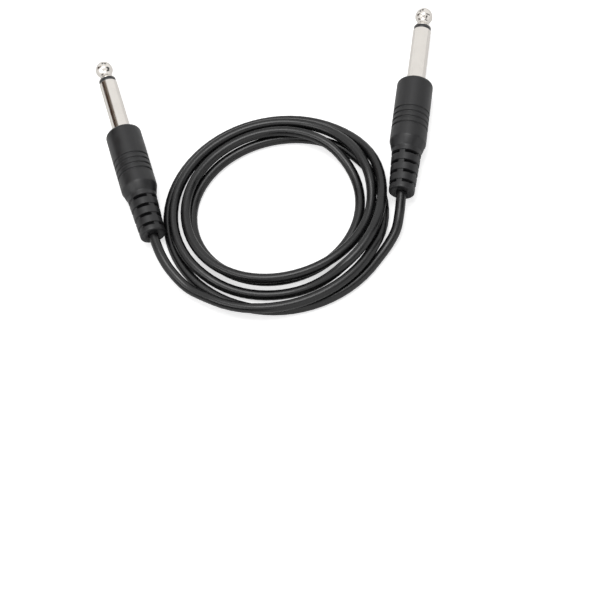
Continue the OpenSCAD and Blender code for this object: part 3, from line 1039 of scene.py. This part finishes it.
@dataclass(frozen=True)
class AreaLamp:
    """A soft box."""

    name: str
    place: tuple[float, float, float]
    aim: tuple[float, float, float]
    size: tuple[float, float]
    power: float

    def build(self) -> None:
        """Make the lamp and point it at its aim."""
        data = bpy.data.lights.new(self.name, "AREA")
        data.shape = "RECTANGLE"
        data.size, data.size_y = self.size
        data.energy = self.power
        lamp = bpy.data.objects.new(self.name, data)
        bpy.context.scene.collection.objects.link(lamp)
        lamp.location = self.place
        way = Vector(self.aim) - Vector(self.place)
        lamp.rotation_euler = way.to_track_quat("-Z", "Y").to_euler()


@dataclass(frozen=True)
class DarkCard:
    """An upright dark card outside the picture, which only shows as a reflection."""

    name: str
    faces_mm: tuple[float, float, float]
    azimuth: float
    elevation: float
    distance_mm: float
    size_mm: tuple[float, float]
    colour: str = "#1c1a19"

    def build(self) -> None:
        """Make the card, turned towards what it faces."""
        turn, tilt = math.radians(self.azimuth), math.radians(self.elevation)
        way = Vector((math.cos(tilt) * math.cos(turn), math.cos(tilt) * math.sin(turn), math.sin(tilt)))
        side = Vector((-math.sin(turn), math.cos(turn), 0))
        up = way.cross(side)
        middle = Vector(self.faces_mm) + way * self.distance_mm
        half_wide, half_high = self.size_mm[0] / 2, self.size_mm[1] / 2
        corners = [
            (middle + x * half_wide * side + y * half_high * up) * MM for x, y in ((-1, -1), (1, -1), (1, 1), (-1, 1))
        ]
        card = mesh_object(self.name, corners, [(0, 1, 2, 3)], smooth=False)
        material = bpy.data.materials.new(self.name)
        material.use_nodes = True
        shader = material.node_tree.nodes["Principled BSDF"]
        shader.inputs["Base Color"].default_value = linear(self.colour)
        shader.inputs["Roughness"].default_value = 1.0
        card.data.materials.append(material)


LEFT_SHANK = (-56.0, 22.0, 6.0)
BETWEEN_TIPS = (-5.0, 30.0, 6.0)


@dataclass(frozen=True)
class Studio:
    """White surface, pale surroundings, soft lamps and dark cards for the metal to reflect."""

    surface_m: float = 6.0
    world_strength: float = 0.7
    lamps: tuple[AreaLamp, ...] = (
        AreaLamp("overhead_box", (0.0, 0.1, 1.0), (0.0, -0.02, 0.0), (0.5, 0.5), 3.4),
        AreaLamp("left_box", (-0.8, -0.35, 0.7), (0.0, -0.02, 0.0), (0.45, 0.7), 2.2),
    )
    cards: tuple[DarkCard, ...] = (
        DarkCard("streak_card", LEFT_SHANK, 146.0, 23.0, 500.0, (260.0, 330.0), "#4a3426"),
        DarkCard("upper_streak_card", LEFT_SHANK, 131.0, 41.0, 500.0, (190.0, 150.0), "#85776b"),
        DarkCard("far_left_card", BETWEEN_TIPS, 97.0, 18.0, 520.0, (120.0, 200.0)),
        DarkCard("far_right_card", BETWEEN_TIPS, 75.0, 18.0, 520.0, (130.0, 200.0)),
        DarkCard("near_left_card", BETWEEN_TIPS, 226.0, 20.0, 480.0, (460.0, 240.0)),
        DarkCard("near_right_card", BETWEEN_TIPS, -47.0, 38.0, 520.0, (240.0, 150.0)),
        DarkCard("side_card", BETWEEN_TIPS, -6.0, 31.0, 500.0, (150.0, 430.0)),
        DarkCard("camera_card", BETWEEN_TIPS, -90.0, 62.0, 760.0, (230.0, 170.0)),
    )

    def build(self) -> None:
        """Make the surface, the world, the lamps and the cards."""
        self.build_world()
        self.build_surface()
        for piece in (*self.lamps, *self.cards):
            piece.build()
        bpy.context.scene.view_settings.view_transform = "Standard"

    def build_world(self) -> None:
        """Light from all round, and plain white where the camera or a glossy piece sees it."""
        world = bpy.data.worlds.new("studio")
        bpy.context.scene.world = world
        world.use_nodes = True
        tree = world.node_tree
        tree.nodes.clear()
        path = add_node(tree, "ShaderNodeLightPath").outputs
        light = add_node(tree, "ShaderNodeBackground", {"Color": (1, 1, 1, 1), "Strength": self.world_strength})
        seen = add_node(tree, "ShaderNodeBackground", {"Color": (1, 1, 1, 1), "Strength": 1.0})
        either = add_node(
            tree, "ShaderNodeMath", {0: path["Is Camera Ray"], 1: path["Is Glossy Ray"]}, operation="MAXIMUM"
        )
        mixed = add_node(
            tree, "ShaderNodeMixShader", {0: either.outputs[0], 1: light.outputs[0], 2: seen.outputs[0]}
        )
        add_node(tree, "ShaderNodeOutputWorld", {"Surface": mixed.outputs[0]})

    def build_surface(self) -> None:
        """White table, bright to the camera, that still takes a shadow."""
        half = self.surface_m / 2
        corners = [(-half, -half, 0), (half, -half, 0), (half, half, 0), (-half, half, 0)]
        table = mesh_object("white_table", corners, [(0, 1, 2, 3)], smooth=False)
        material = bpy.data.materials.new("white_table")
        material.use_nodes = True
        tree = material.node_tree
        tree.nodes.clear()
        path = add_node(tree, "ShaderNodeLightPath").outputs
        matt = add_node(tree, "ShaderNodeBsdfDiffuse", {"Color": (0.85, 0.85, 0.85, 1)})
        lift = add_node(tree, "ShaderNodeEmission", {"Color": (1, 1, 1, 1), "Strength": 0.6})
        bright = add_node(tree, "ShaderNodeAddShader", {0: matt.outputs[0], 1: lift.outputs[0]})
        mixed = add_node(
            tree, "ShaderNodeMixShader", {0: path["Is Camera Ray"], 1: matt.outputs[0], 2: bright.outputs[0]}
        )
        add_node(tree, "ShaderNodeOutputMaterial", {"Surface": mixed.outputs[0]})
        table.data.materials.append(material)


SEATS = (
    Seat("a", (-52.5, -32.6), 3.3, -5.0),
    Seat("b", (31.9, -41.5), -21.2, 33.0),
)


def main() -> None:
    """Build the camera, the cable, the plugs and the studio."""
    logging.basicConfig(level=logging.INFO, format="%(name)s: %(message)s")
    palette = Palette()
    Camera().build()
    left, right = SEATS
    PatchCord(right, left, palette).build()
    for seat in SEATS:
        Plug(seat, palette).build()
    Studio().build()


if __name__ == "__main__":
    main()
